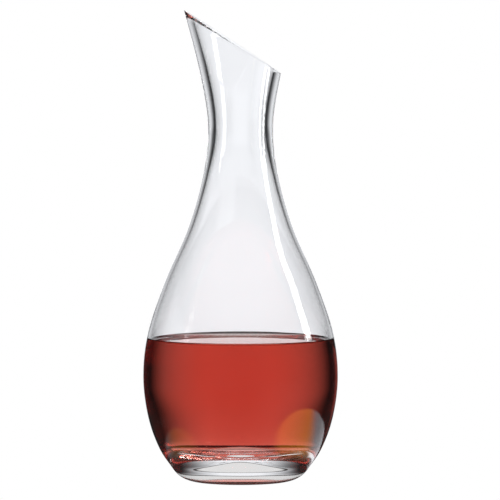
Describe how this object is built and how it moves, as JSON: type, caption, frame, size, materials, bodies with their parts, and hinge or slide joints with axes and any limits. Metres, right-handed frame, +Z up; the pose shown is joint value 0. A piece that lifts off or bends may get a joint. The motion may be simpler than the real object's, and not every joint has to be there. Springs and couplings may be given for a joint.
{
  "type": "wine decanter",
  "caption": "Clear blown-glass wine decanter with a teardrop body, narrow neck and slanted pouring mouth, filled with red wine to a little above its widest part.",
  "frame": {"origin": "centre of the foot, at the level of the surface it stands on, on the axis that the glass is blown about", "axes": "+Z up along that axis; the tip of the pouring lip points to -X and the low side of the slanted mouth to +X; XZ is the mirror plane"},
  "size_m": [0.126, 0.126, 0.305],
  "materials": {
    "clear_glass": "clear fire-polished glass, rim ground and polished",
    "red_wine": "translucent red liquid, still"
  },
  "bodies": {
    "root": {"decanter_glass": "clear_glass", "wine": "red_wine"}
  },
  "joints": []
}
